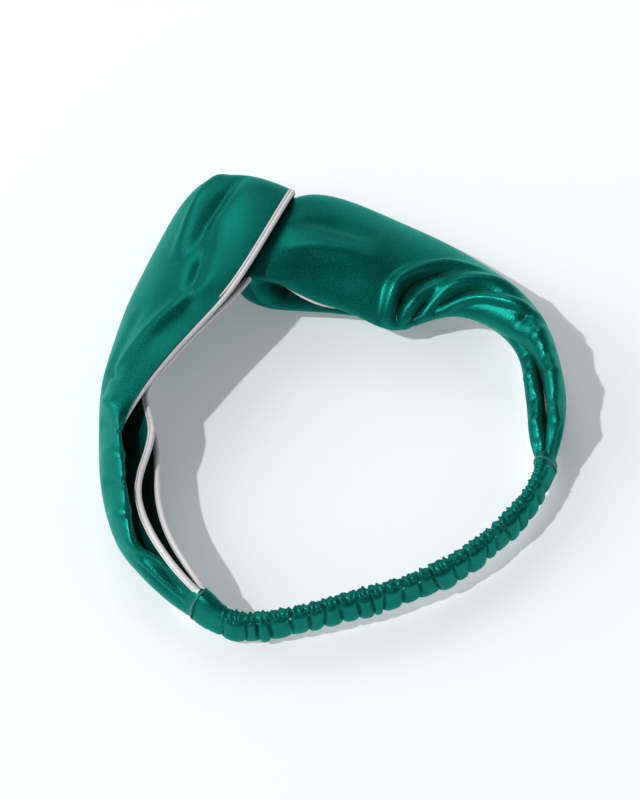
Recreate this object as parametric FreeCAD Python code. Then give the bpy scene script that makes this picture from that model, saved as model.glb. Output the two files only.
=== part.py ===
import FreeCAD, Part
import math
import os

# Knotted satin headband lying on a table: two looped strips with piped edges hook through each
# other at the knot, and their gathered ends are joined by an elastic in a ruched casing.
# Millimetres, +Z up, Z = 0 is the table, +Y points to the knot.

Vector = FreeCAD.Vector

# Cloth
PANEL_THICKNESS = 0.6      # one satin panel with its turned-in seam allowance
PANEL_GAP = 0.05           # half the space between the face panel and the lining panel
FLOOR_DIP = 0.15           # how far the face is pressed below the table before it is cut flat
SAMPLES_ALONG = 70         # points taken along a strip
SAMPLES_ACROSS = 10        # points taken across a strip

# Piping sewn along both long edges of a strip
PIPING_RADIUS = 1.15
CORD_RADIUS = 0.72
PIPING_BORE_RADIUS = 0.78
PIPING_SEAT_GAP = 0.2      # from the panel edge to the piping
PIPING_SAMPLES = 90
HALF_RING_POINTS = 7

# Elastic and its ruched casing
CASING_HEIGHT = 17.0
CASING_DEPTH = 9.4
CASING_WALL = 0.7
ELASTIC_WIDTH = 7.5
ELASTIC_THICKNESS = 1.0
THREAD_RADIUS = 0.25
JOIN_THREAD_GAP = 0.35
CASING_OVERLAP = 2.2       # how far the casing covers the ends of the strips
ELASTIC_OVERLAP = 2.0      # how far the elastic reaches between the ends of the strips
JOIN_THREAD_INSET = 0.9    # from the casing's mouth back to the join thread

# The last stretch of each strip runs straight into the casing
TAIL_LENGTH = 8.0
TAIL_SPACING = 2.8         # between the outer arm's end and the inner arm's end
TAIL_HALF_WIDTH = Vector(0, 0, 4.0)
LEFT_JOIN = Vector(-43.0, -90.6, 11.3)
LEFT_JOIN_HEADING = Vector(0.70, -0.71, 0)
RIGHT_JOIN = Vector(83.4, -36.0, 12.0)
RIGHT_JOIN_HEADING = Vector(-0.22, -0.975, 0)

# Each row of a strip is a line across the cloth: the edge nearest the head, one or two points
# that pull the cloth outwards, and the other edge. Rows follow a strip from join to join.
LEFT_ROWS = [
    # outer arm, from the left join up to the knot
    [(-57, -78, 24), (-78, -78, 6), (-55, -80, 5)],
    [(-69.5, -59, 28), (-93, -53, -5), (-66, -58, 4.5)],
    [(-72, -36, 30), (-98, -30, -10), (-66, -33, 4.5)],
    [(-69, -19, 33), (-100, -8, -12), (-66, -14, 4.5)],
    [(-54, 3.5, 35), (-102, 14, -12), (-66, 8, 4.5)],
    [(-40, 19.5, 35.5), (-96, 38, -11), (-62, 30, 4.5)],
    [(-32, 31, 36), (-88, 62, -8), (-56, 50, 4.5)],
    [(-22, 53, 34), (-74, 88, 0), (-48, 70, 5)],
    # over the right strip, round the back and under it
    [(-13, 70, 32), (-48, 94, 20), (-40, 82, 9)],
    [(-12, 82, 21), (-36, 96, 15), (-35, 87, 12)],
    [(-14, 78, 9), (-30, 90, 8), (-35, 82, 9)],
    [(-20, 61, 11), (-31, 71, 9.5), (-40, 70, 9)],
    # inner arm, back to the left join inside the outer arm
    [(-33, 45, 15), (-47, 56, 12), (-50, 53, 9)],
    [(-44, 28, 20), (-62, 38, 16), (-61, 33, 9)],
    [(-55, 6, 23), (-74, 14, 18), (-70, 11, 10)],
    [(-63, -15, 21), (-81, -9, 16), (-71, -12, 10)],
    [(-63, -32, 20), (-81, -30, 15), (-70, -32, 10)],
    [(-63, -50, 20), (-78, -52, 15), (-67, -54, 10)],
    [(-55, -71, 19), (-66, -73, 13), (-57, -75, 9)],
]
RIGHT_ROWS = [
    # outer arm, from the right join up to the knot
    [(84.5, -28, 22), (96, -26, 8), (86, -26, 6)],
    [(84.5, -15, 25), (101, -12, -4), (84, -12, 4.5)],
    [(82.5, -1, 26), (102, 4, -11), (82, 2, 4.5)],
    [(77, 11, 26), (100, 22, -12), (76, 14, 4.5)],
    [(68, 21, 26), (93, 43, -12), (66, 26, 4.5)],
    [(48, 27, 23), (62, 46.5, 26), (76, 66, -9), (59.5, 43, 4.5)],
    [(30, 23, 16), (45, 53.5, 24), (59, 82, -8), (46, 55.5, 4.5)],
    [(12, 29, 20), (20.5, 62, 24), (27.5, 89, -2), (21, 64, 3.4)],
    # the far side swings round under the left strip while the near edge hardly moves
    [(9, 31, 22), (4.5, 60, 24), (1, 80, 16), (2.5, 70, 7)],
    [(6, 32, 23.5), (-7, 55, 24.5), (-15, 68, 21), (-14, 66.5, 14)],
    [(4, 31.5, 24.5), (-8, 39, 25), (-20, 46.5, 24), (-27, 50.5, 18)],
    # folded over the left strip's inner arm on the near side
    [(1, 30, 25), (-8, 33, 25.5), (-17.5, 36, 24), (-26.5, 39, 21)],
    [(0, 26.5, 16), (-12, 31.5, 14), (-26.5, 35.5, 13)],
    [(1, 30, 7), (-12, 35, 4.5), (-26.5, 39, 4.5)],
    [(4, 31.5, 5), (-13, 46, 4), (-30, 56, 4.5)],
    [(7, 32, 5), (-5, 51, 4), (-18, 69, 4.5)],
    # inner arm, back to the right join inside the outer arm
    [(10, 30, 6), (8, 50, 4.5), (2, 67, 6)],
    [(28, 27, 8), (32, 36, 6), (35, 44, 6)],
    [(48, 24, 15), (56, 36, 11), (53, 37, 8)],
    [(65, 19, 17), (76, 28, 13), (67, 24, 10.5)],
    [(74.5, 9, 17), (84, 14, 13), (76.5, 12, 10.5)],
    [(79, -3, 17), (89, 0, 13), (81, 0, 10.5)],
    [(80.5, -15, 17), (90, -14, 13), (82.5, -14, 10.5)],
    [(80.5, -27, 17), (87, -26, 12), (82.5, -26, 9)],
]

# Middle of the headband's overall box, which the saved parts have at X = 0, Y = 0
BOX_MIDDLE = Vector(4.42, -7.33, 0)

# Centre line of the elastic between the joins
ELASTIC_PATH = [
    (-37.4, -96.2, 10.8), (-30.0, -99.0, 10.4), (-20.5, -98.8, 11.0), (-7.6, -97.2, 12.3),
    (11.5, -92.5, 13.4), (30.5, -86.6, 13.5), (49.6, -76.9, 13.5), (68.7, -60.7, 13.0),
    (79.0, -47.0, 12.4),
]


def save(shape, node):
    """Centre one closed, valid solid on the origin and write it as parts/NODE.step."""
    if not shape.isValid() or len(shape.Solids) != 1:
        raise ValueError(f"{node} is not one valid solid")
    solid = shape.Solids[0].translated(-BOX_MIDDLE)
    solid.exportStep(f"parts/{node}.step")


def tail_row(join, heading, side, back):
    """A straight, narrow row at a join; side is +1 for the outer arm and -1 for the inner arm."""
    outward = Vector(heading.y, -heading.x, 0)
    centre = join + outward * (side * TAIL_SPACING / 2) - heading * back
    return [centre + TAIL_HALF_WIDTH, centre, centre - TAIL_HALF_WIDTH]


def four_poles(row):
    """A row of three points written as the four points that give the same curve."""
    if len(row) == 4:
        return row
    near, pull, far = row
    return [near, near + (pull - near) * (2 / 3), far + (pull - far) * (2 / 3), far]


def strip_rows(rows, join, heading, outer_side):
    """The hand-set rows with a straight tail added at both ends."""
    start = [tail_row(join, heading, outer_side, back) for back in (0, TAIL_LENGTH)]
    end = [tail_row(join, heading, -outer_side, back) for back in (TAIL_LENGTH, 0)]
    middle = [[Vector(*point) for point in row] for row in rows]
    return [four_poles(row) for row in start + middle + end]


def clamped_knots(count, degree):
    """Evenly spaced knots and multiplicities for a curve that starts and ends on its first poles."""
    spans = count - degree
    knots = [i / spans for i in range(spans + 1)]
    mults = [degree + 1] + [1] * (spans - 1) + [degree + 1]
    return knots, mults


def net_surface(net):
    """A smooth surface pulled towards a net of points, and never outside it."""
    u_knots, u_mults = clamped_knots(len(net), 3)
    v_knots, v_mults = clamped_knots(len(net[0]), 3)
    surface = Part.BSplineSurface()
    surface.buildFromPolesMultsKnots(
        net, u_mults, v_mults, u_knots, v_knots, False, False, 3, 3)
    return surface


def offset_surface(middle, distance, lowest):
    """A copy of the middle surface moved along its normal, and lying flat where it meets the table."""
    grid = []
    for i in range(SAMPLES_ALONG):
        u = i / (SAMPLES_ALONG - 1)
        line = []
        for j in range(SAMPLES_ACROSS):
            v = j / (SAMPLES_ACROSS - 1)
            point = middle.value(u, v) + middle.normal(u, v) * distance
            line.append(Vector(point.x, point.y, max(point.z, lowest)))
        grid.append(line)
    return net_surface(grid)


def boundary_edges(surface):
    """The four edge curves of a surface, in a fixed order."""
    u0, u1, v0, v1 = surface.bounds()
    curves = [surface.uIso(u0), surface.uIso(u1), surface.vIso(v0), surface.vIso(v1)]
    return [curve.toShape() for curve in curves]


def panel(middle, near, far, near_floor, far_floor):
    """A closed cloth panel between two offsets of a strip's middle surface."""
    first = offset_surface(middle, near, near_floor)
    second = offset_surface(middle, far, far_floor)
    sides = [Part.makeRuledSurface(a, b, 1)
             for a, b in zip(boundary_edges(first), boundary_edges(second))]
    return closed_solid([first.toShape(), second.toShape()] + sides)


def cut_flat(solid):
    """Cut away what lies below the table, which leaves a flat face to rest on."""
    below = Part.makeBox(400, 400, 20, Vector(-200, -200, -20))
    return solid.cut(below)


def half_ring(centre, across, upward, radius, flip):
    """Points round half a circle, from one side of it to the other."""
    points = []
    for i in range(HALF_RING_POINTS):
        angle = math.pi * i / (HALF_RING_POINTS - 1)
        sweep = math.sin(angle) * (-1 if flip else 1)
        points.append(centre + (across * math.cos(angle) + upward * sweep) * radius)
    return points


def half_skins(frames, radius):
    """The two half-round skins of a rod of the given radius along the frames."""
    return [net_surface([half_ring(*frame, radius, flip) for frame in frames])
            for flip in (False, True)]


def closed_solid(faces):
    """One solid out of faces that share their edges."""
    shell = Part.makeShell(faces)
    shell.sewShape()
    solid = Part.Solid(shell)
    if solid.Volume < 0:
        solid.reverse()
    return solid


def end_curves(skin):
    """The two end curves of a rod's skin."""
    u0, u1, v0, v1 = skin.bounds()
    return [skin.uIso(u0).toShape(), skin.uIso(u1).toShape()]


def rod_along(frames, radius):
    """A solid rod along the frames."""
    upper, lower = half_skins(frames, radius)
    ends = [Part.makeRuledSurface(a, b, 1)
            for a, b in zip(end_curves(upper), end_curves(lower))]
    return closed_solid([upper.toShape(), lower.toShape()] + ends)


def tube_along(frames, radius, bore_radius):
    """A hollow tube along the frames."""
    faces = []
    for skin, bore in zip(half_skins(frames, radius), half_skins(frames, bore_radius)):
        faces += [skin.toShape(), bore.toShape()]
        faces += [Part.makeRuledSurface(a, b, 1)
                  for a, b in zip(end_curves(skin), end_curves(bore))]
    return closed_solid(faces)


def edge_frames(middle, edge, distance):
    """Centres and cross directions beside a strip's long edge: 0 is nearest the head, 1 the other."""
    inside = 0.06 if edge == 0 else 0.94
    frames = []
    for i in range(PIPING_SAMPLES):
        u = i / (PIPING_SAMPLES - 1)
        on_edge = middle.value(u, edge)
        outward = (on_edge - middle.value(u, inside)).normalize()
        frames.append((on_edge + outward * distance, outward, middle.normal(u, edge)))
    return frames


def make_piping(middle, edge, name):
    """Piping: a bias-cut cover rolled round a cord."""
    frames = edge_frames(middle, edge, PIPING_RADIUS + PIPING_SEAT_GAP)
    save(tube_along(frames, PIPING_RADIUS, PIPING_BORE_RADIUS), f"{name}_cover")
    save(rod_along(frames, CORD_RADIUS), f"{name}_cord")


def make_strip(side, rows, face_sign):
    """One looped strip: face panel, lining panel and the piping of both edges."""
    middle = net_surface(rows)
    outer = PANEL_GAP + PANEL_THICKNESS
    face = panel(middle, face_sign * PANEL_GAP, face_sign * outer,
                 PANEL_THICKNESS, -FLOOR_DIP)
    lining = panel(middle, -face_sign * outer, -face_sign * PANEL_GAP,
                   2 * outer, PANEL_THICKNESS + 2 * PANEL_GAP)
    save(cut_flat(face), f"{side}_strip_face")
    save(lining, f"{side}_strip_lining")
    make_piping(middle, 0, f"{side}_inner_edge_piping")
    make_piping(middle, 1, f"{side}_outer_edge_piping")


def oval(centre, heading, height, depth):
    """A closed oval across the elastic's path, standing upright."""
    upright = height > depth
    major = max(height, depth) / 2
    minor = min(height, depth) / 2
    sideways = Vector(heading.y, -heading.x, 0)
    long_axis = Vector(0, 0, 1) if upright else sideways
    ellipse = Part.Ellipse(centre + long_axis * major,
                           centre + (sideways if upright else Vector(0, 0, 1)) * minor, centre)
    return Part.Wire([ellipse.toShape()])


def band_section(centre, heading, height, depth):
    """A closed rectangle across the elastic's path, standing upright."""
    side = Vector(heading.y, -heading.x, 0) * (depth / 2)
    up = Vector(0, 0, height / 2)
    corners = [centre + side + up, centre + side - up, centre - side - up, centre - side + up]
    return Part.makePolygon(corners + corners[:1])


def sweep_upright(path, section):
    """Sweep a section along the path without letting it roll."""
    sweep = Part.BRepOffsetAPI.MakePipeShell(Part.Wire([path.toShape()]))
    sweep.setBiNormalMode(Vector(0, 0, 1))
    sweep.add(section, False, False)
    sweep.build()
    sweep.makeSolid()
    return sweep.shape()


def elastic_path(overlap):
    """The elastic's centre line, running past both joins by the given overlap."""
    first = LEFT_JOIN - LEFT_JOIN_HEADING * overlap
    last = RIGHT_JOIN - RIGHT_JOIN_HEADING * overlap
    points = [first, LEFT_JOIN] + [Vector(*p) for p in ELASTIC_PATH] + [RIGHT_JOIN, last]
    path = Part.BSplineCurve()
    path.interpolate(points)
    return path


def start_of(path):
    """Where the path starts, and its level heading there."""
    heading = path.tangent(path.FirstParameter)[0]
    level = Vector(heading.x, heading.y, 0).normalize()
    return path.value(path.FirstParameter), level


def make_elastic():
    """The flat elastic and the ruched casing round it."""
    band = elastic_path(ELASTIC_OVERLAP)
    start, heading = start_of(band)
    save(sweep_upright(band, band_section(start, heading, ELASTIC_WIDTH, ELASTIC_THICKNESS)),
         "elastic_band")

    path = elastic_path(CASING_OVERLAP)
    start, heading = start_of(path)
    outside = sweep_upright(path, oval(start, heading, CASING_HEIGHT, CASING_DEPTH))
    inside = sweep_upright(path, oval(start, heading, CASING_HEIGHT - 2 * CASING_WALL,
                                      CASING_DEPTH - 2 * CASING_WALL))
    save(outside.cut(inside), "elastic_casing")


def make_join_thread(join, heading, node):
    """The thread that closes the casing's mouth round the gathered ends of a strip."""
    side = Vector(heading.y, -heading.x, 0)
    gap = JOIN_THREAD_GAP + THREAD_RADIUS
    reach = side * (CASING_DEPTH / 2 + gap)
    up = Vector(0, 0, CASING_HEIGHT / 2 + gap)
    centre = join - heading * (CASING_OVERLAP - JOIN_THREAD_INSET)
    loop = Part.Ellipse(centre + up, centre + reach, centre)
    start = loop.value(0)
    direction = loop.tangent(0)[0]
    ring = Part.Wire([Part.Circle(start, direction, THREAD_RADIUS).toShape()])
    save(Part.Wire([loop.toShape()]).makePipeShell([ring], True, True), node)


os.makedirs("parts", exist_ok=True)
make_strip("left", strip_rows(LEFT_ROWS, LEFT_JOIN, LEFT_JOIN_HEADING, 1), 1)
make_strip("right", strip_rows(RIGHT_ROWS, RIGHT_JOIN, RIGHT_JOIN_HEADING, -1), -1)
make_elastic()
make_join_thread(LEFT_JOIN, LEFT_JOIN_HEADING, "left_join_thread")
make_join_thread(RIGHT_JOIN, RIGHT_JOIN_HEADING, "right_join_thread")
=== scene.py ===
import math

import bpy
import numpy as np
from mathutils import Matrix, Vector


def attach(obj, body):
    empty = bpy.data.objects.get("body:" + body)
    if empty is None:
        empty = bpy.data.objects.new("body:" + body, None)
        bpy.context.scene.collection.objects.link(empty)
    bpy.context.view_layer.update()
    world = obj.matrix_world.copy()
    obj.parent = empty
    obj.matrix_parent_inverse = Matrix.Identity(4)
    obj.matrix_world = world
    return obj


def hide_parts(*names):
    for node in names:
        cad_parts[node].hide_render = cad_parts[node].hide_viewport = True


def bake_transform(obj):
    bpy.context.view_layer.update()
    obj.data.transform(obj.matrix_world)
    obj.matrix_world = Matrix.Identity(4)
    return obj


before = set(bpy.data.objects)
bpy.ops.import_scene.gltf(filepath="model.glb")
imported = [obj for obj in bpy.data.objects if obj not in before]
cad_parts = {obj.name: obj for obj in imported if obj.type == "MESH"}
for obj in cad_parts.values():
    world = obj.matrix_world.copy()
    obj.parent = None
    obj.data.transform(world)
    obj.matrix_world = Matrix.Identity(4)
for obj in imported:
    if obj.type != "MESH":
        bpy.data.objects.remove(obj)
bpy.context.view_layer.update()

# Shapes are written in millimetres about the middle of the ring, and moved to the part's origin.
ORIGIN = np.array([4.42, -7.33, 0.0])
MM = 0.001

FACE_OFFSET = 0.45         # from a strip's middle surface to the middle of one satin panel
PANEL_THICKNESS = 0.7
PIPING_RADIUS = 1.1
PIPING_OVERHANG = 0.35     # from the cloth's edge out to the middle of the piping
CORD_RADIUS = 0.6
CORD_OFFSET = 0.45         # from the middle of the piping out to its filler cord
TUCK_INWARD = 0.6          # a tucked piping moves in over the cloth and under it, in mm
TUCK_UNDER = 0.8
LEFT_TUCK = (6, 10, 0.9)   # first row, last row and how far the inner piping is tucked there
RIGHT_TUCK = (19, 23, 0.9)
SETTLE = 2.4               # the lowest cloth sinks this far, and cloth at SETTLE_HEIGHT not at all
SETTLE_HEIGHT = 14

ELASTIC_WIDTH = 7.5
ELASTIC_THICKNESS = 1.0
CASING_WALL = 0.5
CASING_TILT = math.radians(16)
THREAD_RADIUS = 0.25
THREAD_PITCH = 0.35
LEFT_JOIN = (-43.6, -89.9, 11.8)
LEFT_HEADING = (0.70, -0.71)
RIGHT_JOIN = (83.5, -34.4, 12)
RIGHT_HEADING = (0.22, 0.975)

FOLD_STEPS = 160           # points along one fold
FOLD_REACH = 60            # steps along the strip beyond its ends that a fold can change

# ---------------------------------------------------------------- shapes

# Every row is a line of pulling points across the cloth, from the edge nearest the head to the
# other edge. Rows follow a strip from one join, through the knot, to the same join.
LEFT_ROWS = [
    # gathered end in the join, then a section folded over on itself
    [(-45, -86.5, 18), (-46, -88, 16.5), (-46, -90.5, 12), (-44.5, -92.5, 8.5), (-43, -93, 7.5)],
    [(-49.5, -82.5, 15), (-48.5, -82, 21), (-52, -86.5, 13), (-50, -90, 6), (-46, -91, 4.5)],
    [(-55, -76, 12), (-57, -74.5, 24), (-60, -78, 19), (-62, -81.5, 6), (-54, -83, 3)],
    [(-60.5, -72.5, 12), (-64, -72, 25), (-66.5, -73, 19), (-70, -72.5, 6), (-58, -78, 3)],
    # outer arm up to the knot; its top edge is rolled inwards as far as the piping shows
    [(-65, -68, 14), (-67, -73, 25), (-71.5, -69, 21), (-75.5, -65.5, 3), (-62, -70, 3)],
    [(-71.5, -60, 17), (-66, -62, 28), (-75, -58, 25), (-82, -52, 2), (-66, -54, 3)],
    [(-73.5, -48, 20), (-68, -50, 31), (-78.5, -42, 27), (-85.5, -36, 0), (-68, -38, 3)],
    [(-74.5, -37, 24), (-69.5, -36, 34), (-79.5, -27, 28), (-85.8, -20, 0), (-68, -22, 3)],
    [(-73.5, -27, 29.5), (-73.5, -25, 34.5), (-81.2, -14, 27), (-85, -7, 0), (-68, -10, 3)],
    [(-66, -14, 34.2), (-74, -9, 34), (-80.5, -1, 26), (-84.5, 6, 0), (-68, 2, 3)],
    [(-55, 1.5, 35.3), (-65, 7, 34.5), (-75, 14, 28), (-82.5, 21, 0), (-66, 14, 3)],
    [(-43.5, 15.5, 35.3), (-55, 22, 35.5), (-69, 29, 31), (-79.5, 38, 1), (-64, 28, 3)],
    [(-33, 28.5, 36), (-45, 36, 37), (-61, 46, 32), (-72.5, 56, 2), (-58, 44, 3)],
    [(-22.5, 50, 34.5), (-35, 56, 36), (-52, 67, 31.5), (-63.5, 77, 4), (-50, 63, 4)],
    [(-16.5, 63, 33), (-27, 69, 34.5), (-42, 80, 31), (-56, 88, 10), (-44, 76, 6)],
    # over the right strip, down its back and under it
    [(-10.5, 78.3, 28), (-20, 83, 29), (-31, 88, 26), (-46, 90, 18), (-41, 85, 11)],
    [(-11.5, 81, 18), (-20, 85.5, 17), (-29, 88, 16), (-38, 88, 14), (-37, 84, 10)],
    [(-14, 77, 9), (-21, 80, 8), (-28, 83, 8), (-33, 82, 8), (-35, 80, 9)],
    [(-20, 60, 16), (-25, 65, 12), (-31, 70, 9.5), (-36, 72, 9), (-40, 70, 9)],
    # inner arm: its near edge follows the outer arm's piping, then both edges stand up together
    [(-25.5, 40, 25.5), (-33, 47, 18), (-41, 53, 12), (-47, 55, 9), (-50, 53, 9)],
    [(-36, 25.5, 28.5), (-46, 33, 20), (-56, 39, 12), (-60, 38, 9), (-61, 33, 9)],
    [(-48, 12.5, 28.5), (-57, 18, 20), (-66, 22, 12), (-68, 20, 8), (-66, 16, 9)],
    [(-60, -3, 28), (-69, 2, 21), (-75, 5, 11), (-74, 4, 7), (-69, 0, 9)],
    [(-67, -12, 26.5), (-75, -8, 20), (-78, -7, 9), (-73, -9, 6), (-66, -13, 10)],
    [(-60, -25, 24), (-73, -24, 18), (-77, -24, 6), (-68, -26, 4), (-60.5, -25, 15)],
    [(-66.5, -42, 22.5), (-74, -42, 15), (-76, -42, 4), (-65, -42, 3), (-60, -39, 17.5)],
    [(-67, -54, 22.5), (-73, -56, 14), (-72, -58, 4), (-62, -58, 4), (-59.5, -53, 18.5)],
    [(-60, -70, 22), (-65, -72, 14), (-63, -74, 5), (-56, -72, 5), (-54, -70, 20)],
    [(-50, -83, 21.5), (-52, -84, 14), (-50, -86, 7), (-46, -84, 8), (-46, -81, 20.5)],
    [(-43.5, -88, 18), (-44, -88.5, 15), (-43, -90, 11), (-41.5, -90, 9), (-41.5, -87.5, 17)],
]
RIGHT_ROWS = [
    # gathered end in the join
    [(83.6, -37, 16.5), (84, -37, 15.5), (84.4, -37, 13), (84.6, -37, 10), (84.8, -37, 8),
     (84.8, -37, 7)],
    [(83.5, -30, 15), (83.5, -30, 22), (86, -29, 25), (88, -28, 18), (88.5, -28, 8), (85, -28, 6)],
    # outer arm up to the knot; the edge nearest the head is rolled under
    [(88, -15, 8), (84.2, -15, 24), (87, -14, 29.5), (92, -13, 25), (95, -10, 1), (88, -11, 3)],
    [(86, 0, 8), (82.6, -1, 24), (85, 1, 31), (89.5, 4, 26), (92, 9, 1), (86, 4, 3)],
    [(83, 13, 8), (78.4, 9.5, 24), (81, 13, 31.5), (86.5, 18, 27), (90, 25, 1), (81.5, 17, 3)],
    [(69, 23, 14), (65, 19, 23), (70, 25, 29), (78, 30.4, 31), (83, 42, 1), (72.5, 36, 3)],
    [(52, 33, 14), (47, 29, 18), (53, 35.4, 25), (63.5, 43.2, 28.5), (72, 55, 1), (58, 44, 3)],
    [(33, 29, 11), (27, 16.5, 8), (33, 31, 19), (44.5, 51.9, 27), (56, 71, 2), (45, 56, 3)],
    [(20, 33, 12), (14, 24, 12), (20, 35.4, 27), (31, 59, 25), (40, 79, 3), (32, 62, 3)],
    [(4, 33.5, 13), (3, 31, 19), (8, 41.5, 27), (18, 62, 25), (26.5, 87, 5), (20, 66, 4)],
    [(-6, 35, 18.5), (-8, 36.5, 24), (-5, 45, 28), (1, 68, 27), (6, 94, 10), (3, 70, 8)],
    # the far side swings round under the left strip
    [(-13, 38.5, 21), (-18, 37, 26), (-16, 45, 28), (-12, 65, 27), (-9, 86, 20), (-10, 78, 14)],
    [(-17, 43, 20), (-26, 36, 26), (-26, 43, 27.5), (-25, 54, 27), (-25, 66, 24), (-24, 64, 18)],
    [(-17, 44, 18), (-28, 37, 25), (-31, 40, 26), (-34, 47, 25), (-35, 54, 22), (-34, 56, 18)],
    # folded over the left strip's inner arm on the near side
    [(-16, 45, 15), (-21, 34.5, 18), (-26, 36, 18), (-30, 38, 17), (-32, 40, 16), (-32, 42, 15)],
    [(-13, 45, 12), (-18, 33, 12), (-24, 35, 10), (-28, 38, 7), (-30, 44, 5), (-30, 48, 5)],
    # inner arm, under the outer arm to the right join
    [(-4, 45, 10), (-7, 31, 10), (-10, 40, 6), (-12, 48, 4), (-14, 57, 4), (-18, 64, 4.5)],
    [(12, 43, 10), (9, 29.5, 9), (9, 41, 6), (8, 50, 4.5), (5, 60, 5), (2, 67, 6)],
    [(32, 40, 9), (29, 27.5, 8), (32, 34, 8), (34, 39, 7), (35, 43, 6.5), (36, 46, 6)],
    [(55, 39, 9), (49, 29.5, 13), (54, 33, 18), (60, 39, 15), (60, 43, 9), (56, 42, 7)],
    [(74, 30, 8), (65.5, 22, 13), (70, 25, 21), (76, 30, 18), (76, 32, 10), (71, 29, 8)],
    [(81, 15, 7), (75.3, 10.5, 13), (78, 12, 23), (81.5, 15, 16), (81.5, 16, 9), (79, 14, 7)],
    [(83, 1, 7), (75.3, -2, 13), (79, -1.5, 22), (83.5, 0.5, 16), (83.5, 1, 9), (81, 0, 7)],
    [(83, -13, 7), (76.8, -15, 13), (80.2, -14.5, 22), (84.4, -14, 16), (84.4, -13, 9), (81, -14, 7)],
    [(83.5, -26, 9), (76, -27, 13), (80, -27, 21), (85, -27, 19), (85, -27, 10), (82, -27, 8)],
    [(81.8, -37, 16.5), (82, -37, 15.5), (82.2, -37, 13), (82.4, -37, 10), (82.6, -37, 8),
     (82.8, -37, 7)],
]

# Middle line of the elastic casing, from the left join to the right join
ELASTIC_PATH = [
    (-46.5, -85, 12), (-43.5, -89, 11.5), (-37.5, -94.0, 10), (-30.0, -97.0, 9),
    (-20.5, -97.2, 9.5), (-7.6, -95.6, 11.3), (11.5, -90.6, 12.4), (30.5, -84.6, 12.5),
    (49.6, -75.2, 12.5), (68.4, -59.6, 12.4), (78.6, -46.5, 12.2), (83, -36.5, 12), (84, -32, 12),
]


def cubic_basis(count, values):
    """Weights of a clamped cubic B-spline with this many poles, at values from 0 to 1."""
    spans = count - 3
    knots = np.concatenate([np.zeros(3), np.linspace(0, 1, spans + 1), np.ones(3)])
    x = np.clip(np.asarray(values, float), 0, 1 - 1e-9)
    basis = [(x >= a) & (x < b) for a, b in zip(knots[:-1], knots[1:])]
    basis = [b.astype(float) for b in basis]
    for degree in (1, 2, 3):
        wider = []
        for i in range(len(basis) - 1):
            left = knots[i + degree] - knots[i]
            right = knots[i + degree + 1] - knots[i + 1]
            term = np.zeros_like(x)
            if left > 0:
                term = term + (x - knots[i]) / left * basis[i]
            if right > 0:
                term = term + (knots[i + degree + 1] - x) / right * basis[i + 1]
            wider.append(term)
        basis = wider
    return np.array(basis).T


def net_points(net, us, vs):
    """Points of the smooth surface pulled by a net, as an array along, across, xyz."""
    net = np.array(net, float)
    along = cubic_basis(net.shape[0], us)
    across = cubic_basis(net.shape[1], vs)
    return np.einsum("ai,bj,ijk->abk", along, across, net)


def normals_of(grid):
    """Unit normals of a grid of points."""
    du = np.gradient(grid, axis=0)
    dv = np.gradient(grid, axis=1)
    n = np.cross(du, dv)
    return n / np.maximum(np.linalg.norm(n, axis=2, keepdims=True), 1e-9)


def metres(points):
    """Millimetres about the ring's middle to metres in the part's frame."""
    return (np.asarray(points, float) - ORIGIN) * MM


def mesh_from(name, points, faces, smooth=True, uvs=None):
    """A mesh object from points in metres."""
    mesh = bpy.data.meshes.new(name)
    mesh.from_pydata([tuple(p) for p in points], [], faces)
    mesh.update()
    mesh.polygons.foreach_set("use_smooth", [smooth] * len(mesh.polygons))
    if uvs is not None:
        layer = mesh.uv_layers.new(name="cloth")
        corner = np.zeros(len(mesh.loops), int)
        mesh.loops.foreach_get("vertex_index", corner)
        layer.data.foreach_set("uv", np.asarray(uvs, np.float32)[corner].ravel())
    obj = bpy.data.objects.new(name, mesh)
    bpy.context.scene.collection.objects.link(obj)
    return obj


def grid_faces(rows, columns, start=0, wrap=False, flip=False):
    """Quads between the points of a grid; wrap joins the last column to the first."""
    faces = []
    last = columns if wrap else columns - 1
    for i in range(rows - 1):
        for j in range(last):
            a = start + i * columns + j
            b = start + i * columns + (j + 1) % columns
            c = start + (i + 1) * columns + (j + 1) % columns
            d = start + (i + 1) * columns + j
            faces.append((a, d, c, b) if flip else (a, b, c, d))
    return faces


def cloth_lengths(grid):
    """Distance along and across the cloth at every grid point, in metres."""
    step_u = np.linalg.norm(np.diff(grid, axis=0), axis=2).mean(axis=1)
    step_v = np.linalg.norm(np.diff(grid, axis=1), axis=2)
    along = np.concatenate([[0], np.cumsum(step_u)])
    across = np.concatenate([np.zeros((grid.shape[0], 1)), np.cumsum(step_v, axis=1)], axis=1)
    return np.stack([np.repeat(along[:, None], grid.shape[1], axis=1), across], axis=2) * MM


def thick_sheet(name, grid, normals, low, high):
    """A closed cloth mesh between two offsets of a grid."""
    rows, columns = grid.shape[:2]
    one = (grid + normals * low).reshape(-1, 3)
    two = (grid + normals * high).reshape(-1, 3)
    count = rows * columns
    faces = grid_faces(rows, columns, 0, flip=True) + grid_faces(rows, columns, count)
    rim = [i * columns for i in range(rows)]
    rim += [(rows - 1) * columns + j for j in range(1, columns)]
    rim += [i * columns + columns - 1 for i in range(rows - 2, -1, -1)]
    rim += [j for j in range(columns - 2, 0, -1)]
    for a, b in zip(rim, rim[1:] + rim[:1]):
        faces.append((a, b, b + count, a + count))
    uv = cloth_lengths(grid).reshape(-1, 2)
    return mesh_from(name, metres(np.vstack([one, two])), faces, uvs=np.vstack([uv, uv]))


def round_profile(radius, sides):
    """A circle as (outward, upward) points."""
    angles = np.linspace(0, 2 * math.pi, sides, endpoint=False)
    return np.stack([np.cos(angles), np.sin(angles)], axis=1) * radius


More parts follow.
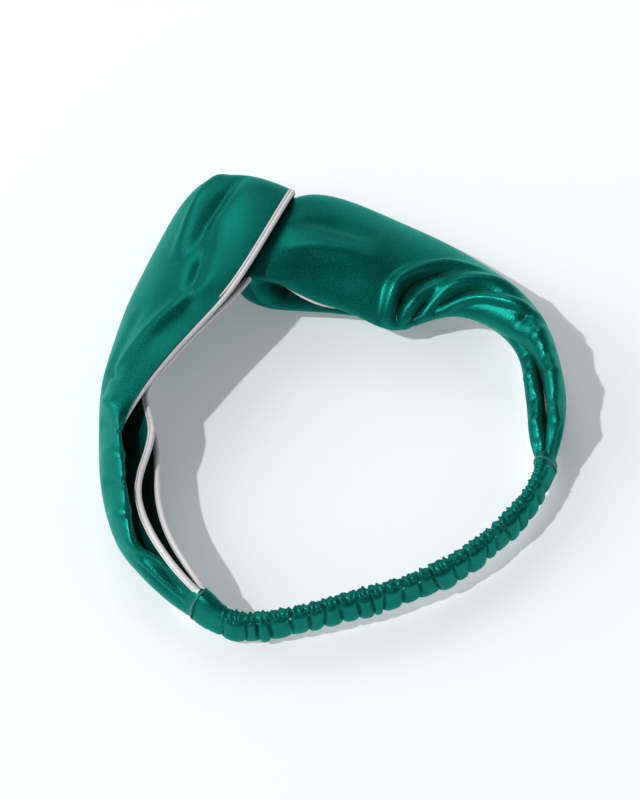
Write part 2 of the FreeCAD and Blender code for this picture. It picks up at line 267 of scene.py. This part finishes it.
def piping_profile():
    """Covered cord on the outside, stitch groove, then the flat flange over the cloth's edge."""
    top = [(1.32, 0.2), (1.2, 0.55), (0.92, 0.85), (0.5, 1.0), (0.1, 0.95), (-0.2, 0.78),
           (-0.38, 0.74), (-0.55, 0.88), (-0.85, 0.95), (-1.15, 0.93), (-1.32, 0.7)]
    return np.array(top + [(x, -y) for x, y in reversed(top)])


def rod(name, line, profile, across, upward):
    """A rod along a line, with one profile and its own cross directions."""
    sides = len(profile)
    angles = np.arctan2(profile[:, 1], profile[:, 0])
    points = (line[:, None, :] + across[:, None, :] * profile[None, :, :1]
              + upward[:, None, :] * profile[None, :, 1:])
    rows = len(line)
    faces = grid_faces(rows, sides, wrap=True)
    faces.append(tuple(range(sides)))
    faces.append(tuple((rows - 1) * sides + j for j in reversed(range(sides))))
    length = np.concatenate([[0], np.cumsum(np.linalg.norm(np.diff(line, axis=0), axis=1))])
    uv = np.stack([np.repeat(length[:, None], sides, axis=1),
                   np.repeat(angles[None, :] / math.tau, rows, axis=0)], axis=2)
    return mesh_from(name, metres(points.reshape(-1, 3)), faces, uvs=uv.reshape(-1, 2))


# ---------------------------------------------------------------- materials

def satin(name, base, deep):
    """Woven satin: fine grain, soft broad shine along the threads and slight colour variation."""
    mat = bpy.data.materials.new(name)
    mat.use_nodes = True
    nodes, links = mat.node_tree.nodes, mat.node_tree.links
    shader = nodes["Principled BSDF"]
    shader.inputs["Metallic"].default_value = 0.85
    shader.inputs["Specular IOR Level"].default_value = 0.5
    shader.inputs["Specular Tint"].default_value = (0.35, 1.0, 0.85, 1)
    shader.inputs["Anisotropic"].default_value = 0.35
    shader.inputs["Sheen Weight"].default_value = 0.12
    shader.inputs["Sheen Roughness"].default_value = 0.4
    shader.inputs["Sheen Tint"].default_value = (0.25, 0.9, 0.75, 1)
    tangent = nodes.new("ShaderNodeTangent")
    tangent.direction_type = "UV_MAP"
    tangent.uv_map = "cloth"
    links.new(tangent.outputs["Tangent"], shader.inputs["Tangent"])
    uv = nodes.new("ShaderNodeUVMap")
    uv.uv_map = "cloth"
    weave = noise_at(nodes, links, uv.outputs["UV"], (1500, 2500, 1), 2.0)
    cloud = noise_at(nodes, links, uv.outputs["UV"], (70, 70, 1), 3.0)
    shade = nodes.new("ShaderNodeMath")
    shade.operation = "MULTIPLY_ADD"
    shade.inputs[1].default_value = 0.9
    links.new(weave, shade.inputs[0])
    lower = nodes.new("ShaderNodeMath")
    lower.operation = "MULTIPLY_ADD"
    lower.inputs[1].default_value = 0.5
    lower.inputs[2].default_value = -0.2
    links.new(cloud, lower.inputs[0])
    links.new(lower.outputs[0], shade.inputs[2])
    mix = nodes.new("ShaderNodeMix")
    mix.data_type = "RGBA"
    mix.inputs[6].default_value = (*deep, 1)
    mix.inputs[7].default_value = (*base, 1)
    links.new(shade.outputs[0], mix.inputs[0])
    links.new(mix.outputs[2], shader.inputs["Base Color"])
    rough = nodes.new("ShaderNodeMapRange")
    rough.inputs["From Min"].default_value = 0.35
    rough.inputs["From Max"].default_value = 0.65
    rough.inputs["To Min"].default_value = 0.27
    rough.inputs["To Max"].default_value = 0.47
    links.new(weave, rough.inputs["Value"])
    links.new(rough.outputs["Result"], shader.inputs["Roughness"])
    bump = nodes.new("ShaderNodeBump")
    bump.inputs["Strength"].default_value = 0.5
    bump.inputs["Distance"].default_value = 0.0002
    links.new(weave, bump.inputs["Height"])
    links.new(bump.outputs["Normal"], shader.inputs["Normal"])
    return mat


def noise_at(nodes, links, vector, scale, detail):
    """A noise pattern stretched over the cloth."""
    mapping = nodes.new("ShaderNodeMapping")
    mapping.inputs["Scale"].default_value = scale
    links.new(vector, mapping.inputs["Vector"])
    noise = nodes.new("ShaderNodeTexNoise")
    noise.inputs["Scale"].default_value = 1.0
    noise.inputs["Detail"].default_value = detail
    links.new(mapping.outputs["Vector"], noise.inputs["Vector"])
    return noise.outputs["Fac"]


def woven(name, base, dark, scale, roughness=0.6):
    """Plain woven or twisted thread: bands of light and shade along the piece."""
    mat = bpy.data.materials.new(name)
    mat.use_nodes = True
    nodes, links = mat.node_tree.nodes, mat.node_tree.links
    shader = nodes["Principled BSDF"]
    shader.inputs["Roughness"].default_value = roughness
    shader.inputs["Sheen Weight"].default_value = 0.2
    coords = nodes.new("ShaderNodeTexCoord")
    noise = nodes.new("ShaderNodeTexNoise")
    noise.inputs["Scale"].default_value = scale
    noise.inputs["Detail"].default_value = 3.0
    links.new(coords.outputs["Object"], noise.inputs["Vector"])
    mix = nodes.new("ShaderNodeMix")
    mix.data_type = "RGBA"
    mix.inputs[6].default_value = (*dark, 1)
    mix.inputs[7].default_value = (*base, 1)
    links.new(noise.outputs["Fac"], mix.inputs[0])
    links.new(mix.outputs[2], shader.inputs["Base Color"])
    bump = nodes.new("ShaderNodeBump")
    bump.inputs["Strength"].default_value = 0.3
    bump.inputs["Distance"].default_value = 0.0001
    links.new(noise.outputs["Fac"], bump.inputs["Height"])
    links.new(bump.outputs["Normal"], shader.inputs["Normal"])
    return mat


GREEN = satin("green satin", (0.004, 0.3, 0.245), (0.0004, 0.04, 0.033))
WHITE = woven("white piping", (0.9, 0.87, 0.87), (0.8, 0.76, 0.77), 1800, 0.45)
CORD = woven("cord core", (0.78, 0.76, 0.72), (0.6, 0.58, 0.54), 2500)
ELASTIC = woven("elastic webbing", (0.8, 0.8, 0.78), (0.6, 0.6, 0.58), 1500)
THREAD = woven("green thread", (0.004, 0.26, 0.21), (0.002, 0.16, 0.13), 3000)


def dress(obj, material, record_slot, *nodes):
    """Give a piece its material and hide the CAD nodes it stands for; its slot in the record is not
    used.
    """
    obj.data.materials.append(material)
    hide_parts(*nodes)
    return obj


# ---------------------------------------------------------------- building

def smooth_step(x):
    """0 to 1 with a soft start and a soft end."""
    x = np.clip(x, 0, 1)
    return x * x * (3 - 2 * x)


def build_strip(side, rows, face_sign, folds, tuck, samples=(520, 96)):
    """Face, lining and the piping of both edges of one looped strip."""
    us = np.linspace(0, 1, samples[0])
    vs = np.linspace(0, 1, samples[1])
    grid = net_points(rows, us, vs)
    grid = folds(grid, us, vs)
    # the lowest cloth settles on what it lies on
    grid[..., 2] -= SETTLE * (1 - smooth_step(grid[..., 2] / SETTLE_HEIGHT))
    grid[..., 2] = np.maximum(grid[..., 2], FACE_OFFSET + PANEL_THICKNESS / 2)
    normals = normals_of(grid) * face_sign
    half = PANEL_THICKNESS / 2
    face = thick_sheet(f"{side}_satin_face", grid, normals, FACE_OFFSET - half, FACE_OFFSET + half)
    lining = thick_sheet(f"{side}_satin_lining", grid, normals, -FACE_OFFSET - half,
                         -FACE_OFFSET + half)
    pieces = [dress(face, GREEN, "green_satin", f"{side}_strip_face"),
              dress(lining, GREEN, "green_satin", f"{side}_strip_lining")]
    for edge, name in ((0, "inner"), (-1, "outer")):
        inside = 3 if edge == 0 else -4
        outward = grid[:, edge] - grid[:, inside]
        outward /= np.linalg.norm(outward, axis=1, keepdims=True)
        up = normals[:, edge]
        hidden = np.zeros((len(us), 1))
        if edge == 0:
            first, last, depth = tuck
            places = [row_to_u(rows, r) for r in (first - 1, first, last, last + 2)]
            hidden = np.interp(us, places, (0, depth, depth, 0))[:, None]
        line = (grid[:, edge] + outward * (PIPING_OVERHANG - TUCK_INWARD * hidden)
                - up * hidden * TUCK_UNDER)
        line[:, 2] = np.maximum(line[:, 2], PIPING_RADIUS)
        cover = rod(f"{side}_{name}_piping", line, piping_profile(), outward, up)
        core = rod(f"{side}_{name}_cord", line + outward * CORD_OFFSET, round_profile(CORD_RADIUS, 10),
                   outward, up)
        node = f"{side}_{name}_edge_piping"
        pieces.append(dress(cover, WHITE, "white_piping", f"{node}_cover"))
        pieces.append(dress(core, CORD, "cord_core", f"{node}_cord"))
    return pieces


def row_to_u(rows, row):
    """Place along the strip (0 to 1) where a numbered row of pulling points acts."""
    count = len(rows)
    knots = np.concatenate([np.zeros(3), np.linspace(0, 1, count - 2), np.ones(3)])
    places = [knots[i + 1:i + 4].mean() for i in range(count)]
    return float(np.interp(row, range(count), places))


def crease(grid, us, vs, rows, line, width, lean=0.0):
    """Height of one fold. Its line is (row, part of the way across, height in mm) stations."""
    fine = smooth_line(line, FOLD_STEPS)
    u_at = np.array([row_to_u(rows, r) for r in fine[:, 0]]) * (len(us) - 1)
    v_at = np.clip(fine[:, 1], 0, 1) * (len(vs) - 1)
    i = np.clip(u_at.astype(int), 0, len(us) - 2)
    j = np.clip(v_at.astype(int), 0, len(vs) - 2)
    p = (u_at - i)[:, None]
    q = (v_at - j)[:, None]
    spots = ((1 - p) * (1 - q) * grid[i, j] + p * (1 - q) * grid[i + 1, j]
             + (1 - p) * q * grid[i, j + 1] + p * q * grid[i + 1, j + 1])
    low = max(int(u_at.min()) - FOLD_REACH, 0)
    high = min(int(u_at.max()) + FOLD_REACH, len(us))
    part = grid[low:high]
    away = np.linalg.norm(part[:, :, None] - spots[None, None], axis=3)
    nearest = away.argmin(axis=2)
    distance = np.take_along_axis(away, nearest[..., None], axis=2)[..., 0]
    # which side of the line: compare places on the cloth
    du = np.gradient(u_at)[nearest]
    dv = np.gradient(v_at)[nearest]
    here_u = np.arange(low, high)[:, None] - u_at[nearest]
    here_v = np.arange(len(vs))[None, :] - v_at[nearest]
    side = np.sign(du * here_v - dv * here_u)
    spread = width * (1 + lean * side)
    lift = np.zeros(grid.shape[:2])
    lift[low:high] = fine[nearest, 2] * np.exp(-(distance / spread) ** 2)
    return lift


def fold_strip(grid, us, vs, rows, face_sign, creases):
    """Raise and sink a strip along its creases."""
    lift = sum(crease(grid, us, vs, rows, *c) for c in creases)
    for _ in range(2):
        lift[1:-1] = 0.25 * lift[:-2] + 0.5 * lift[1:-1] + 0.25 * lift[2:]
        lift[:, 1:-1] = 0.25 * lift[:, :-2] + 0.5 * lift[:, 1:-1] + 0.25 * lift[:, 2:]
    return grid + normals_of(grid) * face_sign * lift[..., None]


def fold(start, end, height, width, bow=0.0, lean=0.0):
    """One fold between two places, each (row, part of the way across), highest half-way.

    A positive height is a ridge and a negative one a valley. Height and width are in mm,
    and bow, in rows, curves the fold along the strip.
    """
    along = np.linspace(0, 1, 5)
    rise = np.sin(np.pi * along)
    rows = start[0] + (end[0] - start[0]) * along + bow * rise
    across = start[1] + (end[1] - start[1]) * along
    return np.stack([rows, across, height * rise], axis=1), width, lean


def folds_across(rows, edges, count, height, width):
    """Valleys and ridges by turns down an arm, each crossing it."""
    return [fold((row, edges[0]), (row, edges[1]), height if k % 2 else -height, width)
            for k, row in enumerate(np.linspace(*rows, count))]


def folds_along(rows, edges, count, height, width):
    """Valleys and ridges by turns side by side, running along an arm into its join."""
    return [fold((rows[0], across), (rows[1], across), height if k % 2 else -height, width)
            for k, across in enumerate(np.linspace(*edges, count))]


def gather_fan(near_rows, far_rows, edges, count, heights, width, bows):
    """Ridges and valleys by turns that leave one edge close together and spread out.

    The last ones, nearest the knot, are the deepest and curve round the most.
    """
    rng = np.random.default_rng(5)
    ends = zip(np.linspace(*near_rows, count), np.linspace(*far_rows, count),
               np.linspace(*heights, count), np.linspace(*bows, count))
    folds = []
    for k, (near, far, height, bow) in enumerate(ends):
        height *= rng.uniform(0.7, 1.1)
        reach = edges[1] + rng.uniform(-0.1, 0.1)
        folds.append(fold((near, edges[0]), (far, reach), -height if k % 2 else height,
                          width * rng.uniform(0.8, 1.3), bow))
    return folds


def left_folds(grid, us, vs):
    """Broad soft folds below the knot, pinches where the arm narrows, gathers at the join."""
    folds = [
        fold((15, 0.6), (12, 0.4), 3, 3, lean=0.3),
        fold((15, 0.4), (12, 0.3), -3, 3),
        fold((13, 0.3), (11, 0.1), -2, 3),
        fold((12, 0.1), (9, 0.3), 2, 3),
        fold((11, 0.4), (8, 0.5), -1.5, 3.5),
    ]
    folds += folds_across((9, 5), (0.2, 0.6), 6, 1.5, 2)
    folds += folds_along((3, 0.5), (0.4, 0.6), 3, 1.5, 1.5)
    return fold_strip(grid, us, vs, LEFT_ROWS, 1, folds)


def right_folds(grid, us, vs):
    """A fan of deep gathers beside the knot, puffs down both arms, gathers at the join."""
    folds = gather_fan((6, 7), (4, 6), (0.15, 0.6), 9, (2, 4.5), 2, (0, 1))
    folds += folds_across((4.5, 1.5), (0.2, 0.6), 6, 1.5, 2)
    folds += folds_across((20.5, 24), (0.2, 0.5), 6, 1.5, 2)
    folds += folds_along((2, 0.5), (0.3, 0.6), 4, 1, 1)
    folds += [
        fold((11, 0.6), (8.5, 0.6), -1.5, 3),
        fold((11, 0.4), (8, 0.5), 1.5, 3.5),
    ]
    return fold_strip(grid, us, vs, RIGHT_ROWS, -1, folds)


def smooth_line(points, count):
    """A smooth line through points."""
    points = np.array(points, float)
    t = np.concatenate([[0], np.cumsum(np.linalg.norm(np.diff(points, axis=0), axis=1))])
    t /= t[-1]
    where = np.linspace(0, 1, count)
    tangents = np.gradient(points, t, axis=0)
    k = np.clip(np.searchsorted(t, where, side="right") - 1, 0, len(t) - 2)
    h = (t[k + 1] - t[k])[:, None]
    x = ((where - t[k])[:, None]) / h
    return ((2 * x**3 - 3 * x**2 + 1) * points[k] + (x**3 - 2 * x**2 + x) * h * tangents[k]
            + (3 * x**2 - 2 * x**3) * points[k + 1] + (x**3 - x**2) * h * tangents[k + 1])


def pleats(length, rng, spacing):
    """Places, heights and lean of uneven pleats along a length."""
    places = [-8.0]
    while places[-1] < length + 12:
        places.append(places[-1] + rng.uniform(*spacing))
    return np.array(places), rng.uniform(0.35, 1.0, len(places)), rng.uniform(-1.4, 1.4, len(places))


def pleat_shape(at, places, strengths, power):
    """Broad lobes with narrow valleys between them, and each lobe's own strength."""
    k = np.clip(np.searchsorted(places, at, side="right") - 1, 0, len(places) - 2)
    phase = (at - places[k]) / (places[k + 1] - places[k])
    return 1 - np.abs(2 * phase - 1) ** power, strengths[k]


def build_casing():
    """The ruched casing: an oval tube with pleats across it and a frilled heading along the top."""
    rng = np.random.default_rng(11)
    count, sides = 1400, 64
    line = smooth_line(ELASTIC_PATH, count)
    length = np.concatenate([[0], np.cumsum(np.linalg.norm(np.diff(line, axis=0), axis=1))])
    total = length[-1]
    tangent = np.gradient(line, axis=0)
    tangent /= np.linalg.norm(tangent, axis=1, keepdims=True)
    side = np.stack([tangent[:, 1], -tangent[:, 0], np.zeros(count)], axis=1)
    side /= np.linalg.norm(side, axis=1, keepdims=True)
    up = np.cross(side, tangent)
    wide, wide_strength, wide_lean = pleats(total, rng, (3.6, 8.4))
    narrow, narrow_strength, _ = pleats(total, rng, (1.5, 3.2))
    reach = rng.uniform(0, 1, len(wide))
    start = smooth_step((length - 11) / 9)
    finish = smooth_step((total - length - 3) / 7)
    gathered = start * finish
    puff = 1.1 * np.exp(-((length - 7) / 6) ** 2) + 0.7 * np.exp(-((total - length) / 5) ** 2)
    lean_here = np.interp(length, wide, wide_lean)
    angles = np.linspace(0, 2 * math.pi, sides, endpoint=False)
    points = np.zeros((count, sides, 3))
    for j, angle in enumerate(angles):
        c, z = math.cos(angle), math.sin(angle)
        at = length + lean_here * z + 0.5 * math.sin(3 * angle) * np.sin(length * 0.8)
        lobe, strength = pleat_shape(at, wide, wide_strength, 3.0)
        _, top_reach = pleat_shape(at, wide, reach, 5.0)
        small, small_strength = pleat_shape(at, narrow, narrow_strength, 2.0)
        reach_here = np.clip(0.5 + 0.5 * z * (2 * top_reach - 1) + 0.35, 0.15, 1)
        valley = (1 - lobe) * reach_here
        heading = smooth_step((z - 0.5) / 0.3)
        seam = math.exp(-((z - 0.66) / 0.11) ** 2)
        depth = 3.1 + puff + gathered * (1.3 * (strength - 0.5) - 1.9 * valley
                                         + 0.45 * small * small_strength * (0.3 + heading) - 0.2)
        depth = depth * (1 - gathered * 0.42 * seam)
        low = max(-z, 0.0)
        height = 7.0 + 0.9 * puff + gathered * (low * (2.2 * (strength - 0.6) - 1.4 * valley)
                                                + heading * 0.4 * (small * small_strength - 0.5))
        x = np.sign(c) * abs(c) ** 0.75 * depth
        y = np.sign(z) * abs(z) ** 0.8 * height
        wave = np.sin(length * 2.1 + 1.4 * np.sin(length * 0.43)) + 0.5 * np.sin(length * 3.7 + 1)
        x = x + gathered * heading * 0.35 * wave
        xx = x * math.cos(CASING_TILT) - y * math.sin(CASING_TILT)
        yy = y * math.cos(CASING_TILT) + x * math.sin(CASING_TILT)
        points[:, j] = line + side * xx[:, None] + up * yy[:, None]
    points[..., 2] = np.maximum(points[..., 2], 0.15)
    # the cloth has a wall: the same shape drawn in towards the middle line
    inward = line[:, None, :] - points
    inward /= np.linalg.norm(inward, axis=2, keepdims=True)
    inside = points + inward * CASING_WALL
    faces = grid_faces(count, sides, wrap=True)
    faces += grid_faces(count, sides, start=count * sides, wrap=True, flip=True)
    for row in (0, count - 1):
        for j in range(sides):
            a, b = row * sides + j, row * sides + (j + 1) % sides
            c, d = b + count * sides, a + count * sides
            faces.append((b, a, d, c) if row == 0 else (a, b, c, d))
    uv = np.stack([np.repeat(length[:, None] * 1.6, sides, axis=1),
                   np.repeat(angles[None, :] * 6.5, count, axis=0)], axis=2) * MM
    uv = uv.reshape(-1, 2)
    both = np.vstack([points.reshape(-1, 3), inside.reshape(-1, 3)])
    return mesh_from("ruched_casing", metres(both), faces, uvs=np.vstack([uv, uv]))


def build_elastic():
    """The flat elastic inside the casing."""
    line = smooth_line(ELASTIC_PATH, 160)[6:-6]
    tangent = np.gradient(line, axis=0)
    side = np.stack([tangent[:, 1], -tangent[:, 0], np.zeros(len(line))], axis=1)
    side /= np.linalg.norm(side, axis=1, keepdims=True)
    up = np.tile(np.array([0.0, 0, 1]), (len(line), 1))
    x, y = ELASTIC_THICKNESS / 2, ELASTIC_WIDTH / 2
    corners = [(x, y), (-x, y), (-x, -y), (x, -y)]
    points = np.stack([line + side * x + up * y for x, y in corners], axis=1)
    faces = grid_faces(len(line), 4, wrap=True)
    faces.append((0, 1, 2, 3))
    faces.append(tuple((len(line) - 1) * 4 + j for j in (3, 2, 1, 0)))
    return mesh_from("flat_elastic", metres(points.reshape(-1, 3)), faces, smooth=False)


def build_join_thread(name, centre, heading, height, depth):
    """Two turns of thread round the casing's mouth."""
    turns = np.linspace(0, 2 * math.tau, 240)
    side = np.array([heading[1], -heading[0], 0.0])
    along = np.array([heading[0], heading[1], 0.0])
    x, y = depth * np.cos(turns), height * np.sin(turns)
    xx = x * math.cos(CASING_TILT) - y * math.sin(CASING_TILT)
    yy = y * math.cos(CASING_TILT) + x * math.sin(CASING_TILT)
    outward = side * xx[:, None] + np.array([0, 0, 1.0]) * yy[:, None]
    line = (np.array(centre, float) + outward
            + along * np.linspace(-THREAD_PITCH, THREAD_PITCH, len(turns))[:, None])
    outward /= np.linalg.norm(outward, axis=1, keepdims=True)
    across = np.tile(along, (len(turns), 1))
    return rod(name, line, round_profile(THREAD_RADIUS, 8), across, outward)


left_pieces = build_strip("left", LEFT_ROWS, 1, left_folds, LEFT_TUCK)
right_pieces = build_strip("right", RIGHT_ROWS, -1, right_folds, RIGHT_TUCK)
casing = dress(build_casing(), GREEN, "green_satin", "elastic_casing")
elastic = dress(build_elastic(), ELASTIC, "elastic_webbing", "elastic_band")
left_thread = dress(build_join_thread("left_thread", LEFT_JOIN, LEFT_HEADING, 8.1, 4.2),
                    THREAD, "green_thread", "left_join_thread")
right_thread = dress(build_join_thread("right_thread", RIGHT_JOIN, RIGHT_HEADING, 7.9, 4.0),
                     THREAD, "green_thread", "right_join_thread")

# Bake every piece of the strips, the casing and the elastic into place; the casing runs between the
# two joins
for piece in left_pieces + right_pieces:
    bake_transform(piece)
for piece in (casing, elastic):
    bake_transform(piece)
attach(left_thread, "left_side")
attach(right_thread, "right_side")

# ---------------------------------------------------------------- floor, light and camera

FLOOR_REACH = 3.0
PAPER_COLOUR = (0.93, 0.96, 1.0, 1)
KEY_DIRECTION = (0.7, 0.24, -1.0)
SOFT_BOXES = (("left soft box", (-1.7, 0.1, 0.9), 1.4, 13.5),
              ("back soft box", (-0.3, 1.3, 1.2), 0.8, 4.5))
SENSOR = 36
VIEW_WIDTH = 0.3053        # width seen at the headband's distance
DISTANCE = 0.95
ELEVATION = math.radians(62)


def paper():
    """Plain pale paper with a weak glow that keeps the shadows pale."""
    mat = bpy.data.materials.new("paper")
    mat.use_nodes = True
    shader = mat.node_tree.nodes["Principled BSDF"]
    shader.inputs["Base Color"].default_value = PAPER_COLOUR
    shader.inputs["Roughness"].default_value = 0.9
    shader.inputs["Specular IOR Level"].default_value = 0.1
    shader.inputs["Emission Color"].default_value = PAPER_COLOUR
    shader.inputs["Emission Strength"].default_value = 0.2
    return mat


def build_floor():
    """A plain pale floor."""
    r = FLOOR_REACH
    floor = mesh_from("floor", [(-r, -r, 0), (r, -r, 0), (r, r, 0), (-r, r, 0)], [(0, 1, 2, 3)],
                      smooth=False)
    floor.data.materials.append(paper())
    return floor


def surround(scene):
    """A pale room, brighter near the horizon than overhead."""
    world = bpy.data.worlds.new("room")
    scene.world = world
    world.use_nodes = True
    nodes, links = world.node_tree.nodes, world.node_tree.links
    coords = nodes.new("ShaderNodeTexCoord")
    split = nodes.new("ShaderNodeSeparateXYZ")
    links.new(coords.outputs["Generated"], split.inputs["Vector"])
    fade = nodes.new("ShaderNodeMapRange")
    fade.interpolation_type = "SMOOTHSTEP"
    fade.inputs["From Min"].default_value = 0.05
    fade.inputs["From Max"].default_value = 1.0
    fade.inputs["To Min"].default_value = 0.55
    fade.inputs["To Max"].default_value = 0.1
    links.new(split.outputs["Z"], fade.inputs["Value"])
    nodes["Background"].inputs["Color"].default_value = (0.94, 0.97, 1.0, 1)
    links.new(fade.outputs["Result"], nodes["Background"].inputs["Strength"])


def light(scene):
    """A slightly soft key light from the left and two soft boxes."""
    data = bpy.data.lights.new("key", "SUN")
    data.energy = 1.45
    data.angle = math.radians(1.6)
    data.color = (1.0, 0.99, 0.97)
    sun = bpy.data.objects.new("key", data)
    sun.rotation_euler = Vector(KEY_DIRECTION).to_track_quat("-Z", "Y").to_euler()
    scene.collection.objects.link(sun)
    for name, place, size, power in SOFT_BOXES:
        data = bpy.data.lights.new(name, "AREA")
        data.size = size
        data.energy = power
        panel = bpy.data.objects.new(name, data)
        panel.location = place
        panel.rotation_euler = (-Vector(place)).to_track_quat("-Z", "Y").to_euler()
        scene.collection.objects.link(panel)


def place_camera(scene):
    """A camera in front of the headband, looking down at it."""
    data = bpy.data.cameras.new("camera")
    data.sensor_width = SENSOR
    data.lens = SENSOR * DISTANCE / VIEW_WIDTH
    camera = bpy.data.objects.new("camera", data)
    target = Vector(metres((0, 0, 0)))
    camera.location = target + DISTANCE * Vector((0, -math.cos(ELEVATION), math.sin(ELEVATION)))
    camera.rotation_euler = (math.radians(90) - ELEVATION, 0, 0)
    scene.collection.objects.link(camera)
    scene.camera = camera


build_floor()
surround(bpy.context.scene)
light(bpy.context.scene)
place_camera(bpy.context.scene)
bpy.context.scene.view_settings.view_transform = "Standard"
